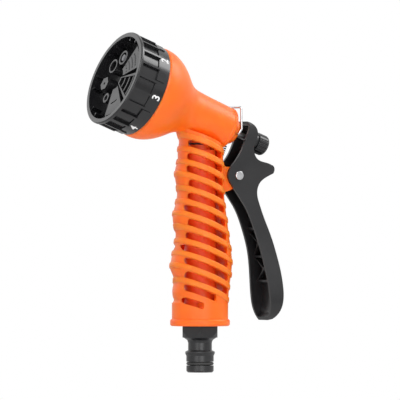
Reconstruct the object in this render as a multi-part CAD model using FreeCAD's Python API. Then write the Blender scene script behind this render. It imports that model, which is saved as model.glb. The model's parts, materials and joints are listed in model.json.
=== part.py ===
import FreeCAD, Part
import math
import os

# Hose spray nozzle. Millimetres, +Z up along the grip, origin at the centre of the hose
# inlet's tip. The spray leaves towards -X and a little upwards.
# Parts of the head are drawn about their own axis, local +Z being the spray direction,
# and head() then puts them in place. "s" is the distance along that axis, 0 at the dial's
# back and negative towards the trigger; "u" is the distance above the axis.

# ---- clearances -------------------------------------------------------------------------
RUN = 0.05              # radial running clearance of everything that turns or slides
SEAT = 0.02             # radial clearance of pieces pressed together
GAP = 0.3               # free gap between faces that pass each other
TOUCH = 0.08            # gap left where two faces rest on each other across a joint
THROUGH = 1.0           # how far a cutter runs past the face it breaks through
COIL_POINTS = 12        # points on each turn of a spring

# ---- head axis --------------------------------------------------------------------------
HEAD_X, HEAD_Z = -36.2, 160.4        # where the axis meets the back of the dial
HEAD_TILT = 21.8                     # degrees the spray direction points above level
HEAD_SIN = math.sin(math.radians(HEAD_TILT))
HEAD_COS = math.cos(math.radians(HEAD_TILT))

# ---- pattern layout, shared by the dial and the plate behind it ---------------------------
PATTERNS = 7
PATTERN_STEP = 360.0 / PATTERNS
PORT_CIRCLE_R = 12.8
PORT_R = 2.4

# ---- bell and barrel ----------------------------------------------------------------------
# (s, radius) of the outside, from the mouth of the bell to the barrel's rear shoulder
BELL_OUTLINE = [(-0.9, 27.0), (-3.5, 27.1), (-7.0, 26.6), (-11.0, 25.2), (-15.5, 22.7), (-20.0, 19.2),
                (-24.0, 15.9), (-28.0, 13.8), (-33.0, 13.05), (-44.0, 12.55), (-55.2, 12.15)]
BELL_LIP_R = 26.3
BARREL_END_S = -58.2
BARREL_END_R = 10.0
BARREL_SHOULDER_BULGE = 0.8          # how far the rear shoulder's arc stands out of its chord
BELL_WALL = 2.6
BELL_MOUTH_R = 24.1
BELL_MOUTH_S = -6.0
CHAMBER_R = 8.6                      # bore of the barrel
SEAT_SHOULDER_S = -26.0
SEAT_SHOULDER_R = 6.5
SEAT_SHOULDER_LENGTH = 2.5

# ---- front plate, in the bell's mouth -------------------------------------------------------
PLATE_BACK_S, PLATE_FRONT_S = BELL_MOUTH_S + TOUCH, -0.4
SPIGOT_R = 5.0
SPIGOT_END_S = 9.4
SCREW_R = 2.0
OUTLET_SLEEVE_R = 4.2                # outside of the rubber face seal
OUTLET_BORE_R = 2.5
SLEEVE_DEPTH_S = -4.2
DETENT_U = -18.0
DETENT_R = 1.8
DETENT_BOTTOM_S = -4.6
O_RING_W = 1.6                       # cord thickness of the large O-rings

# ---- dial -----------------------------------------------------------------------------------
DIAL_BACK_S, DIAL_FRONT_S = 0.3, 20.6
BAND_R, BAND_END_S = 26.8, 7.7
RIB_FLOOR_R, RIB_R = 26.1, 28.0
RIBS = 3 * PATTERNS
RIB_WIDTH = 1.3
PANEL_CORNER_WIDTH = 5.6             # wide raised pads between labels
PAD_HEIGHT = 0.5
RIM_S = 18.9
DIAL_WALL_R = 25.2                   # inside of the dial's wall
RIM_EDGE = 0.7
STUB_LENGTH, STUB_WIDTH = 2.0, 0.9   # short ribs on the inside of the front rim
STUB_BACK_S, STUB_FRONT_S = 13.0, 19.1
CELL_OUTER_R = DIAL_WALL_R - STUB_LENGTH - GAP
DIAL_WASHER_R, DIAL_WASHER_T = 4.6, 0.8
BACK_PLATE_S0, BACK_PLATE_S1 = 0.6, 3.6
DIMPLE_R, DIMPLE_DEPTH = 1.5, 0.6
FACE_FLOOR_S0, FACE_FLOOR_S1 = 10.0, 12.0
HUB_R = 7.2
PORT_TUBE_R = 3.9
CELL_TOP_S = 18.9                    # height of the pattern cells on the face
CELL_WALL = 1.0

# round outlets on the face: pattern number, outside radius, bore radius, top
ROUND_OUTLETS = {0: (4.3, 3.2, 19.3), 4: (2.9, 1.7, 18.5), 5: (4.1, 2.6, 17.9), 6: (4.2, 3.2, 18.7)}
# sector outlets: pattern number, inner radius, outer radius, half angle in degrees
SECTOR_OUTLETS = {1: (6.6, CELL_OUTER_R, 21.0), 2: (DIAL_WASHER_R + GAP, CELL_OUTER_R, 22.0),
                  3: (6.6, CELL_OUTER_R, 21.0)}
SLAT_RADII = [9.5, 14.5, 19.0]
SLAT_WIDTH = 1.0
SOAKER_SLIT_R, SOAKER_SLIT_WIDTH = 15.5, 0.8
SHOWER_PLATE_T = 1.2
SHOWER_HOLE_R = 0.5
SHOWER_ROWS = [(10.0, 3), (13.0, 5), (16.0, 6), (19.0, 7)]    # (radius, holes)
SHOWER_SPAN = 26.0
PIN_R, PIN_HEAD_R = 1.1, 1.9
JET_BORE_R = 1.1
CONE_HOLE_R = 0.8

# ---- valve, stem and knob ---------------------------------------------------------------------
SEAT_T = 2.4
SEAT_BORE_R = 4.2
STEM_R = 2.0
STEM_FRONT_S = -25.6
PLUNGER_SEAL_R, PLUNGER_SEAL_T = 6.4, 1.4
PLUNGER_R, PLUNGER_T = 6.8, 5.0
PLUNGER_NUT_R, PLUNGER_NUT_T = 3.1, 2.4
SPRING_WASHER_T = 0.7
SPRING_WASHER_R = 7.6
GLAND_FRONT_S = -52.0
GLAND_DOME_R = 7.8
GLAND_DOME_LENGTH = 5.0
GLAND_DOME_ROUND = 3.4
GLAND_RING_DEPTH = 2.4
GLAND_RING_R = 4.2
STEM_SPRING_R, STEM_SPRING_WIRE, STEM_SPRING_PITCH = 4.7, 0.45, 2.2
WASHER_R, WASHER_T = 4.3, 0.95
INSERT_R, INSERT_LENGTH = 3.3, 6.8
KNOB_R, KNOB_LENGTH = 5.9, 9.2
KNOB_COLLAR_R, KNOB_COLLAR_LENGTH = 4.9, 2.0
KNOB_FLUTES, KNOB_FLUTE_R, KNOB_FLUTE_IN = 16, 0.55, 0.15
KNOB_DOME = 2.2

# ---- bail ---------------------------------------------------------------------------------------
BAIL_WIRE_R = 0.65
BAIL_PIVOT_S, BAIL_PIVOT_U = -61.0, -1.7
BAIL_HALF_WIDTH = 9.4
BAIL_INNER_END = 6.3
BAIL_BEND_R = 1.3
BAIL_LEG = [(-62.0, 1.6), (-59.3, 7.8), (-57.0, 13.3)]        # (s, u) from the pivot up

# ---- grip ---------------------------------------------------------------------------------------
LIP_Z0, LIP_Z1, LIP_R = 26.5, 30.5, 17.1
COLLAR_R, COLLAR_TOP_Z = 16.1, 39.8
LIP_ROUND = 1.2
# height, reach to the front, reach to the rear, half width
GRIP_STATIONS = [(COLLAR_TOP_Z, 15.8, 15.8, 15.8), (44.0, 15.6, 16.4, 16.1), (50.0, 15.2, 17.1, 16.1),
                 (56.0, 15.7, 18.2, 16.2), (62.0, 17.2, 18.8, 16.2), (68.0, 15.7, 18.5, 16.0),
                 (76.0, 13.9, 17.2, 15.7), (81.0, 14.0, 16.4, 15.5), (88.0, 15.8, 15.4, 15.2),
                 (94.0, 14.7, 14.4, 14.9), (102.0, 12.8, 13.5, 14.5), (108.0, 13.7, 13.3, 14.2),
                 (113.0, 14.6, 13.3, 14.0), (118.5, 13.6, 13.2, 13.7), (124.0, 12.6, 13.1, 13.4),
                 (130.0, 12.0, 13.1, 13.2), (136.0, 12.9, 13.1, 13.1), (142.0, 15.4, 13.1, 13.0)]
GRIP_TOP_U = -10.9                   # the grip's top, a plane parallel to the head axis
GRIP_WALL = 2.4
GRIP_REAR_WALL = 4.0
VOID_TOP_U = -13.6
VOID_BOTTOM_Z = 38.5
SLOTS = 13
SLOT_TOP_Z, SLOT_PITCH = 126.9, 7.6
SLOT_OPENING = 4.1
SLOT_CORNER = 1.2
SLOT_TILT = 22.0
SLOT_FRONT_WEB = 1.3                 # wall left in front of the slots
SLOT_REAR_TOP_X, SLOT_REAR_BOTTOM_X = 7.2, 11.2
# slots cut short above the collar: slot number -> where it ends
SHORT_SLOTS = {11: 1.0, 12: -6.5}

# ---- water tube, in the grip -----------------------------------------------------------------------
TUBE_R, TUBE_BORE_R = 8.9, 7.0
TUBE_Z0, TUBE_SHOULDER_Z = 34.3, 127.2
TUBE_NECK_R, TUBE_NECK_BORE_R, TUBE_TOP_Z = 6.4, 4.8, 133.4
TUBE_RING_Z, TUBE_RING_TOP_Z = 36.4, 130.6
TUBE_RING_W = 1.0

# ---- inlet nipple --------------------------------------------------------------------------------
NIPPLE_BORE_R = 4.75
NIPPLE_RING_Z, NIPPLE_RING_W = 5.05, 0.93
NIPPLE_GROOVE_R = 5.95
# (height, radius) of the click-fit outside
NIPPLE_OUTLINE = [(0.0, 7.0), (0.9, 7.8), (3.9, 7.8), (3.9, NIPPLE_GROOVE_R),
                  (6.2, NIPPLE_GROOVE_R), (6.2, 7.85), (9.6, 7.85),
                  (10.5, 8.3), (11.2, 8.55), (12.0, 8.3), (12.7, 6.8), (17.0, 6.8), (18.4, 7.3), (19.9, 9.3)]
HEX_Z0, HEX_Z1, HEX_FLATS = 19.9, 26.4, 20.0
HEX_EDGE = 0.9
SPIGOT_SOCKET_R, SPIGOT_SOCKET_Z = 9.65, 33.0
INLET_WASHER_T = 1.2

# ---- pivot lug, pin and cap ---------------------------------------------------------------------
PIVOT_X, PIVOT_Z = 21.3, 112.5
PIN_SHANK_R, PIN_HEAD_WIDE_R, PIN_HEAD_T = 2.0, 2.6, 1.0
LUG_R = 5.0
LUG_TOP_Z, LUG_BOTTOM_Z = 117.5, 104.0
CAP_R, CAP_T = 2.6, 1.1

# ---- trigger lever --------------------------------------------------------------------------------
LEVER_WALL = 1.7
LEVER_BACK_WALL = 2.0
HOOD_X, HOOD_Z, HOOD_R = 26.6, 136.6, 7.0
LEVER_HALF = 7.7
LEVER_PIVOT_LOBE_R = 7.1
# front edges of the two side walls, from the hood's lip down to the paddle's tip (x, z)
LEVER_FRONT = [(28.6, 142.0), (28.2, 139.4), (26.2, 134.5), (23.4, 127.8), (19.6, 121.6), (15.4, 116.3),
               (14.2, 112.8), (15.2, 109.3), (18.0, 105.2), (22.1, 99.4), (25.2, 95.0), (29.0, 87.6),
               (32.1, 79.4), (35.0, 70.1), (37.2, 59.6), (38.7, 49.1), (39.6, 41.0), (41.2, 29.6)]
# the back of the lever: hood to horn, round the horn, horn to tip (x, z)
LEVER_HOOD_BACK = [(31.05, 129.3), (31.1, 126.5), (31.9, 123.8)]
LEVER_HORN_TOP = [(33.8, 121.6), (36.8, 120.4), (42.4, 118.6)]
LEVER_HORN_END = [(44.1, 117.3), (44.3, 115.4), (43.4, 113.6)]
LEVER_BACK = [(38.5, 111.3), (34.9, 108.4), (33.3, 105.0), (33.1, 101.5), (34.5, 96.3), (37.3, 88.7),
              (40.4, 81.3), (43.2, 73.6), (45.2, 66.0), (46.7, 58.5), (47.6, 50.4), (47.9, 43.9),
              (47.6, 39.6), (46.9, 36.0), (45.7, 32.9), (43.6, 30.2)]
HORN_SOLID_X = 36.0                  # the horn is solid behind this
# height, half width of the lever
LEVER_WIDTHS = [(145.0, 3.6), (143.6, 5.2), (141.5, 6.7), (138.5, 7.5), (134.0, 7.7), (120.0, 7.7),
                (105.0, 7.7), (92.0, 7.7), (82.0, 8.0), (72.0, 8.6), (64.0, 9.6), (56.0, 10.9),
                (49.0, 11.9), (43.0, 12.2), (38.5, 11.8), (34.5, 10.3), (31.5, 8.0), (29.4, 5.2)]
STEM_HOLE_R, STEM_HOLE_RISE = 2.4, 2.4
RIB_T = 1.3
RIB_HEIGHT = 3.2
CROSS_RIB_Z = [52.0, 66.0, 82.0]     # level ribs; crossed ribs run between them

# ---- return spring, beside the centre plane ---------------------------------------------------------
RETURN_Y = 3.3
RETURN_R, RETURN_WIRE = 1.75, 0.4
RETURN_PITCH = 1.25
RETURN_X, RETURN_Z = 15.9, 127.0     # a point on its axis
RETURN_BELOW, RETURN_ABOVE = 6.3, 3.6
RETURN_SEAT_T = 1.3
RETURN_GROOVE_R = 2.7


def vec(x, y, z):
    return FreeCAD.Vector(x, y, z)


X_DIR, Y_DIR, Z_DIR = vec(1, 0, 0), vec(0, 1, 0), vec(0, 0, 1)
ORIGIN = vec(0, 0, 0)


def head(shape):
    """Move a shape drawn about local +Z onto the tilted head axis."""
    placed = shape.copy()
    placed.rotate(ORIGIN, Y_DIR, HEAD_TILT - 90.0)
    placed.translate(vec(HEAD_X, 0, HEAD_Z))
    return placed


def head_point(s, u, y=0.0):
    """World position of a point given along and above the head axis."""
    return vec(HEAD_X - s * HEAD_COS + u * HEAD_SIN, y, HEAD_Z + s * HEAD_SIN + u * HEAD_COS)


def rod(radius, z0, z1):
    return Part.makeCylinder(radius, z1 - z0, vec(0, 0, z0))


def ring(outer, inner, z0, z1):
    return rod(outer, z0, z1).cut(rod(inner, z0 - THROUGH, z1 + THROUGH))


def cross_rod(radius, x, z, y0, y1):
    return Part.makeCylinder(radius, y1 - y0, vec(x, y0, z), Y_DIR)


def box(x0, x1, y0, y1, z0, z1):
    return Part.makeBox(x1 - x0, y1 - y0, z1 - z0, vec(x0, y0, z0))


def o_ring(circle_r, cord_r, z):
    return Part.makeTorus(circle_r, cord_r, vec(0, 0, z), Z_DIR)


def join(shapes):
    shapes = list(shapes)
    return shapes[0].multiFuse(shapes[1:]).removeSplitter()


def spline(points):
    curve = Part.BSplineCurve()
    curve.interpolate(points)
    return curve.toShape()


def polyline(points):
    return [Part.makeLine(a, b) for a, b in zip(points, points[1:])]


def turned(edges):
    """Solid of revolution about Z from edges that close on themselves."""
    face = Part.Face(Part.Wire(Part.__sortEdges__(edges)))
    return Part.Solid(face.revolve(ORIGIN, Z_DIR, 360))


def turned_profile(profile):
    """Solid of revolution from (height, radius) pairs, closed along the axis."""
    points = [vec(r, 0, z) for z, r in profile]
    points = [vec(0, 0, profile[0][0])] + points + [vec(0, 0, profile[-1][0])]
    return turned(polyline(points + points[:1]))


def prism_xz(points, half_width):
    """Polygon in the XZ plane, given as (x, z), spread evenly each way in Y."""
    corners = [vec(x, -half_width, z) for x, z in points]
    face = Part.Face(Part.makePolygon(corners + corners[:1]))
    return face.extrude(vec(0, 2 * half_width, 0))


def sector(inner, outer, half_angle, z0, z1):
    """Ring sector about Z, centred on local +X."""
    wedge_r = outer + THROUGH
    turn = math.radians(half_angle)
    far = vec(wedge_r / math.cos(turn / 2.0), 0, z0)
    near = [vec(wedge_r * math.cos(turn), side * wedge_r * math.sin(turn), z0) for side in (-1, 1)]
    wedge = Part.Face(Part.makePolygon([vec(0, 0, z0), near[0], vec(far.x, near[0].y, z0),
                                        vec(far.x, near[1].y, z0), near[1], vec(0, 0, z0)]))
    return ring(outer, inner, z0, z1).common(wedge.extrude(vec(0, 0, z1 - z0)))


def at_pattern(shape, number):
    """Turn a shape drawn on local +X to its pattern, clockwise seen from the front."""
    placed = shape.copy()
    placed.rotate(ORIGIN, Z_DIR, -number * PATTERN_STEP)
    return placed


def on_port_circle(shape, number):
    placed = shape.copy()
    placed.translate(vec(PORT_CIRCLE_R, 0, 0))
    return at_pattern(placed, number)


def coil(radius, wire_r, pitch, height):
    """Wire spring about Z from 0 to height, measured over the wire."""
    rise = height - 2 * wire_r
    turns = rise / pitch
    count = int(math.ceil(turns * COIL_POINTS))
    points = []
    for step in range(count + 1):
        angle = 2 * math.pi * turns * step / count
        points.append(vec(radius * math.cos(angle), radius * math.sin(angle), wire_r + rise * step / count))
    path = spline(points)
    section = Part.Wire(Part.makeCircle(wire_r, points[0], path.tangentAt(path.FirstParameter)))
    return Part.Wire(path).makePipeShell([section], True, False)


def bent_wire(points, bend_r, wire_r):
    """Round wire along straight runs with an arc at every corner."""
    edges, start = [], points[0]
    for before, corner, after in zip(points, points[1:], points[2:]):
        arm_in = (before - corner).normalize()
        arm_out = (after - corner).normalize()
        half = arm_in.getAngle(arm_out) / 2.0
        reach = bend_r / math.tan(half)
        first, last = corner + arm_in * reach, corner + arm_out * reach
        inward = (arm_in + arm_out).normalize()
        middle = corner + inward * (bend_r / math.sin(half) - bend_r)
        edges += [Part.makeLine(start, first), Part.Arc(first, middle, last).toShape()]
        start = last
    edges.append(Part.makeLine(start, points[-1]))
    section = Part.Wire(Part.makeCircle(wire_r, points[0], points[1] - points[0]))
    return Part.Wire(edges).makePipeShell([section], True, True)


def lofted_grip(inset, rear_inset):
    """Grip through its stations, every wall moved inwards."""
    sections = []
    for z, front, rear, half in GRIP_STATIONS:
        front, rear, half = front - inset, rear - rear_inset, half - inset
        points = []
        for step in range(24):
            angle = 2 * math.pi * step / 24
            reach = rear if math.cos(angle) > 0 else front
            points.append(vec(reach * math.cos(angle), half * math.sin(angle), z))
        curve = Part.BSplineCurve()
        curve.interpolate(points, PeriodicFlag=True)
        sections.append(Part.Wire(curve.toShape()))
    return Part.makeLoft(sections, True, False)


def below_plane(u, size=200.0):
    """Half space under a plane parallel to the head axis."""
    return head(box(u - size, u, -size, size, -size, size))


def slanted_slab(front, rear, z, height):
    """Slab across the grip with its middle at height z on the centre line, slanting down to the rear."""
    slope = math.tan(math.radians(SLOT_TILT))
    corners = [(front, z - slope * front - height / 2.0), (rear, z - slope * rear - height / 2.0),
               (rear, z - slope * rear + height / 2.0), (front, z - slope * front + height / 2.0)]
    return prism_xz(corners, COLLAR_R + 2 * THROUGH)


def grip_slots():
    """Slanting slots with rounded corners, cut across the grip."""
    slots = []
    for number in range(SLOTS):
        z = SLOT_TOP_Z - SLOT_PITCH * number
        front = -(min(station[1] for station in GRIP_STATIONS
                      if abs(station[0] - z) < SLOT_PITCH) - SLOT_FRONT_WEB)
        rear = SLOT_REAR_TOP_X + (SLOT_REAR_BOTTOM_X - SLOT_REAR_TOP_X) * number / (SLOTS - 1)
        slot = slanted_slab(front, SHORT_SLOTS.get(number, rear) + SLOT_CORNER, z, SLOT_OPENING)
        corners = [e for e in slot.Edges if e.BoundBox.YLength > COLLAR_R]
        slots.append(slot.makeFillet(SLOT_CORNER, corners))
    return slots


def return_axis_frame(shape):
    """Put a spring drawn up local +Z from 0 on the return spring's axis."""
    placed = shape.copy()
    placed.rotate(ORIGIN, Y_DIR, HEAD_TILT)
    base = vec(RETURN_X - RETURN_BELOW * HEAD_SIN, RETURN_Y, RETURN_Z - RETURN_BELOW * HEAD_COS)
    placed.translate(base)
    return placed


def body_shell():
    outline = [vec(r, 0, s) for s, r in BELL_OUTLINE]
    lip = vec(BELL_LIP_R, 0, 0)
    rear_edge = vec(BARREL_END_R, 0, BARREL_END_S)
    shoulder = outline[-1]
    chord_middle = (shoulder + rear_edge) * 0.5 + vec(BARREL_SHOULDER_BULGE, 0, -BARREL_SHOULDER_BULGE)
    outside = turned([spline(outline), Part.Arc(shoulder, chord_middle, rear_edge).toShape(),
                      Part.makeLine(rear_edge, vec(0, 0, BARREL_END_S)),
                      Part.makeLine(vec(0, 0, BARREL_END_S), ORIGIN),
                      Part.makeLine(ORIGIN, lip), Part.makeLine(lip, outline[0])])
    grip = lofted_grip(0.0, 0.0).common(below_plane(GRIP_TOP_U))
    collar = rod(COLLAR_R, LIP_Z0, COLLAR_TOP_Z)
    lip_ring = rod(LIP_R, LIP_Z0, LIP_Z1)
    lip_ring = lip_ring.makeFillet(LIP_ROUND, [e for e in lip_ring.Edges if e.Closed])
    lug_half = LEVER_HALF - LEVER_WALL - GAP
    lug = join([cross_rod(LUG_R, PIVOT_X, PIVOT_Z, -lug_half, lug_half),
                prism_xz([(0, LUG_BOTTOM_Z - LUG_R), (PIVOT_X - LUG_R, LUG_BOTTOM_Z),
                          (PIVOT_X + LUG_R * HEAD_SIN, PIVOT_Z - LUG_R * HEAD_COS),
                          (PIVOT_X, PIVOT_Z + LUG_R), (0, LUG_TOP_Z)], lug_half)])
    shell = join([head(outside), grip, collar, lip_ring, lug])

    plenum = [(SEAT_SHOULDER_S + SEAT_SHOULDER_LENGTH, SEAT_SHOULDER_R)]
    for s, r in reversed(BELL_OUTLINE):
        if SEAT_SHOULDER_S + SEAT_SHOULDER_LENGTH < s < BELL_MOUTH_S:
            plenum.append((s, min(r - BELL_WALL, BELL_MOUTH_R - BELL_WALL / 2.0)))
    plenum.append((BELL_MOUTH_S, plenum[-1][1]))
    head_cuts = [turned_profile(plenum),
                 rod(BELL_MOUTH_R, BELL_MOUTH_S, THROUGH),
                 rod(SEAT_SHOULDER_R, SEAT_SHOULDER_S - THROUGH, SEAT_SHOULDER_S + SEAT_SHOULDER_LENGTH),
                 rod(CHAMBER_R, BARREL_END_S - THROUGH, SEAT_SHOULDER_S)]
    void = lofted_grip(GRIP_WALL, GRIP_REAR_WALL).common(below_plane(VOID_TOP_U))
    grip_cuts = [void, rod(TUBE_R + SEAT, SPIGOT_SOCKET_Z, TUBE_SHOULDER_Z + GAP),
                 rod(SPIGOT_SOCKET_R, LIP_Z0 - THROUGH, SPIGOT_SOCKET_Z + INLET_WASHER_T + TOUCH),
                 rod(TUBE_NECK_R + SEAT, VOID_BOTTOM_Z, PIVOT_Z + TUBE_SHOULDER_Z - LUG_TOP_Z + LIP_R),
                 cross_rod(PIN_SHANK_R + SEAT, PIVOT_X, PIVOT_Z, -LEVER_HALF, LEVER_HALF),
                 return_axis_frame(rod(RETURN_GROOVE_R, -RETURN_SEAT_T - GAP - THROUGH,
                                       RETURN_BELOW + RETURN_ABOVE))]
    for cut in [Part.makeCompound(grip_slots())] + [head(cut) for cut in head_cuts] + grip_cuts:
        shell = shell.cut(cut)
    return shell


def front_plate():
    radius = BELL_MOUTH_R - SEAT
    groove_z = (PLATE_BACK_S + PLATE_FRONT_S) / 2.0
    plate = rod(radius, PLATE_BACK_S, PLATE_FRONT_S).fuse(rod(SPIGOT_R, PLATE_BACK_S, SPIGOT_END_S))
    outlet = [rod(OUTLET_SLEEVE_R + SEAT, SLEEVE_DEPTH_S, THROUGH),
              rod(OUTLET_BORE_R, PLATE_BACK_S - THROUGH, THROUGH)]
    for cut in outlet:
        cut.translate(vec(PORT_CIRCLE_R, 0, 0))
    detent = rod(DETENT_R + SEAT, DETENT_BOTTOM_S, THROUGH)
    detent.translate(vec(DETENT_U, 0, 0))
    groove = ring(radius + THROUGH, radius - O_RING_W, groove_z - O_RING_W / 2.0, groove_z + O_RING_W / 2.0)
    screw = rod(SCREW_R + SEAT, PLATE_FRONT_S, SPIGOT_END_S + THROUGH)
    return head(plate.cut(outlet + [detent, groove, screw]))


def plate_o_ring():
    cord = O_RING_W / 2.0 - SEAT
    return head(o_ring(BELL_MOUTH_R - SEAT - O_RING_W / 2.0, cord, (PLATE_BACK_S + PLATE_FRONT_S) / 2.0))


def face_seal():
    """Rubber sleeve that presses forwards on the back of the dial."""
    sleeve = ring(OUTLET_SLEEVE_R, OUTLET_BORE_R, SLEEVE_DEPTH_S + 2.0, BACK_PLATE_S0 - TOUCH)
    sleeve.translate(vec(PORT_CIRCLE_R, 0, 0))
    return head(sleeve)


def face_seal_spring():
    wire = 0.3
    spring = coil(OUTLET_SLEEVE_R - 2 * wire, wire, 0.9, 2.0 - 2 * SEAT)
    spring.translate(vec(PORT_CIRCLE_R, 0, SLEEVE_DEPTH_S + SEAT))
    return head(spring)


def detent_pin():
    """Round-nosed pin; its nose stops just behind the dimples it clicks into."""
    nose = Part.makeSphere(DETENT_R, vec(0, 0, BACK_PLATE_S0 - TOUCH - DETENT_R))
    pin = rod(DETENT_R, BACK_PLATE_S0 - TOUCH - DETENT_R - 1.0, BACK_PLATE_S0 - TOUCH - DETENT_R).fuse(nose)
    pin.translate(vec(DETENT_U, 0, 0))
    return head(pin)


def detent_spring():
    wire = 0.25
    height = BACK_PLATE_S0 - TOUCH - 2 * DETENT_R - DETENT_BOTTOM_S - 2 * SEAT
    spring = coil(DETENT_R - 2 * wire, wire, 0.65, height)
    spring.translate(vec(DETENT_U, 0, DETENT_BOTTOM_S + SEAT))
    return head(spring)


def dial_screw():
    top = FACE_FLOOR_S1 + TOUCH + DIAL_WASHER_T
    screw_head = rod(3.4, top, top + 1.9)
    screw_head = screw_head.makeFillet(0.8, [screw_head.Edges[0]])
    recess = [box(-2.3, 2.3, -0.4, 0.4, top + 1.0, top + 3.0), box(-0.4, 0.4, -2.3, 2.3, top + 1.0, top + 3.0)]
    return head(join([screw_head, rod(SCREW_R, PLATE_FRONT_S + 1.0, top)]).cut(recess))


def dial_washer():
    return head(ring(DIAL_WASHER_R, SCREW_R + SEAT, FACE_FLOOR_S1 + TOUCH,
                     FACE_FLOOR_S1 + TOUCH + DIAL_WASHER_T))


def dial_shell():
    """Ribbed outer ring of the dial with a smooth band at its back."""
    shell = join([rod(BAND_R, DIAL_BACK_S, BAND_END_S), rod(RIB_FLOOR_R, BAND_END_S, RIM_S),
                  rod(RIB_R, RIM_S, DIAL_FRONT_S)])
    rims = [e for e in shell.Edges if e.Closed and abs(e.BoundBox.XMax - RIB_R) < SEAT]
    shell = shell.makeFillet(RIM_EDGE, [e for e in rims if e.BoundBox.ZMin > DIAL_FRONT_S - SEAT])
    ribs, stubs = [], []
    for number in range(RIBS):
        turn = 360.0 * number / RIBS
        rib = box(RIB_FLOOR_R - THROUGH, RIB_R - 0.2, -RIB_WIDTH / 2.0, RIB_WIDTH / 2.0, BAND_END_S - 0.5,
                  RIM_S + 0.5)
        stub = box(DIAL_WALL_R - STUB_LENGTH, DIAL_WALL_R + 0.5, -STUB_WIDTH / 2.0, STUB_WIDTH / 2.0,
                   STUB_BACK_S, STUB_FRONT_S)
        rib.rotate(ORIGIN, Z_DIR, turn)
        stub.rotate(ORIGIN, Z_DIR, turn)
        ribs.append(rib)
        if number % 3 != 1:
            stubs.append(stub)
    pads = []
    for number in range(PATTERNS):
        pad = box(0, BAND_R + PAD_HEIGHT, -PANEL_CORNER_WIDTH / 2.0, PANEL_CORNER_WIDTH / 2.0,
                  DIAL_BACK_S + 2.4, BAND_END_S)
        pads.append(at_pattern(pad, number + 0.5))
    hollow = rod(DIAL_WALL_R, DIAL_BACK_S - THROUGH, DIAL_FRONT_S + THROUGH)
    shell = join([shell] + ribs + pads).cut(hollow)
    return head(join([shell] + stubs))


def dial_back_plate():
    """Ported plate that turns against the face seal."""
    plate = ring(DIAL_WALL_R - SEAT, SPIGOT_R + RUN, BACK_PLATE_S0, BACK_PLATE_S1)
    cuts = []
    for number in range(PATTERNS):
        cuts.append(on_port_circle(rod(PORT_R, 0, BACK_PLATE_S1 + THROUGH), number))
        dimple = Part.makeSphere(DIMPLE_R, vec(DETENT_U, 0, BACK_PLATE_S0 - DIMPLE_R + DIMPLE_DEPTH))
        cuts.append(at_pattern(dimple, number))
    return head(plate.cut(cuts))


def dial_face():
    """Front of the dial: a floor with port tubes behind it and outlets in front."""
    solids = [rod(DIAL_WALL_R - SEAT, FACE_FLOOR_S0, FACE_FLOOR_S1),
              rod(HUB_R, BACK_PLATE_S1 + SEAT, FACE_FLOOR_S1)]
    cuts = [rod(SPIGOT_R + RUN, 0, SPIGOT_END_S + GAP), rod(SCREW_R + RUN, 0, FACE_FLOOR_S1 + THROUGH)]
    for number in range(PATTERNS):
        solids.append(on_port_circle(rod(PORT_TUBE_R, BACK_PLATE_S1 + SEAT, FACE_FLOOR_S1), number))
        cuts.append(on_port_circle(rod(PORT_R, 0, FACE_FLOOR_S1 + THROUGH), number))
    for number, (outer, inner, top) in ROUND_OUTLETS.items():
        solids.append(on_port_circle(rod(outer, FACE_FLOOR_S0, top), number))
        cuts.append(on_port_circle(rod(inner, FACE_FLOOR_S1, top + THROUGH), number))
    for number, (inner, outer, half_angle) in SECTOR_OUTLETS.items():
        cell = sector(inner, outer, half_angle, FACE_FLOOR_S0, CELL_TOP_S)
        wall_turn = math.degrees(CELL_WALL / PORT_CIRCLE_R)
        hollow = sector(inner + CELL_WALL, outer - CELL_WALL, half_angle - wall_turn, FACE_FLOOR_S1,
                        CELL_TOP_S + THROUGH)
        solids.append(at_pattern(cell, number))
        cuts.append(at_pattern(hollow, number))
    face = join(solids).cut(cuts)

    inner, outer, half_angle = SECTOR_OUTLETS[2]
    slats = [at_pattern(sector(r, r + SLAT_WIDTH, half_angle - 1.0, FACE_FLOOR_S1 + 4.0, CELL_TOP_S - 0.4), 2)
             for r in SLAT_RADII]
    inner, outer, half_angle = SECTOR_OUTLETS[3]
    lid = sector(inner, outer, half_angle, CELL_TOP_S - SHOWER_PLATE_T, CELL_TOP_S).cut(
        sector(SOAKER_SLIT_R, SOAKER_SLIT_R + SOAKER_SLIT_WIDTH, half_angle / 2.0, FACE_FLOOR_S1,
               CELL_TOP_S + THROUGH))
    return head(join([face, at_pattern(lid, 3)] + slats))


def shower_plate():
    """Perforated lid of the shower cell."""
    inner, outer, half_angle = SECTOR_OUTLETS[1]
    wall_turn = math.degrees((CELL_WALL + SEAT) / PORT_CIRCLE_R)
    plate = sector(inner + CELL_WALL + SEAT, outer - CELL_WALL - SEAT, half_angle - wall_turn,
                   CELL_TOP_S - SHOWER_PLATE_T, CELL_TOP_S)
    holes = []
    for radius, count in SHOWER_ROWS:
        for step in range(count):
            hole = rod(SHOWER_HOLE_R, FACE_FLOOR_S1, CELL_TOP_S + THROUGH)
            hole.translate(vec(radius, 0, 0))
            hole.rotate(ORIGIN, Z_DIR, SHOWER_SPAN * (step / (count - 1.0) - 0.5))
            holes.append(hole)
    return head(at_pattern(plate.cut(holes), 1))


def mist_pin():
    """Pin on a three-armed spider that spreads the water leaving the tube round it."""
    outer, inner, top = ROUND_OUTLETS[0]
    pin = join([rod(PIN_R, FACE_FLOOR_S1 + SEAT, top), rod(PIN_HEAD_R, top - 1.5, top - 0.2)])
    arms = []
    for turn in (0, 120, 240):
        arm = box(0, inner - SEAT, -0.4, 0.4, FACE_FLOOR_S1 + SEAT, FACE_FLOOR_S1 + 1.5)
        arm.rotate(ORIGIN, Z_DIR, turn)
        arms.append(arm)
    return head(on_port_circle(join([pin] + arms), 0))


def jet_insert():
    outer, inner, top = ROUND_OUTLETS[4]
    insert = ring(inner - SEAT, JET_BORE_R, FACE_FLOOR_S1 + SEAT, top - 0.6)
    return head(on_port_circle(insert, 4))


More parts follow.
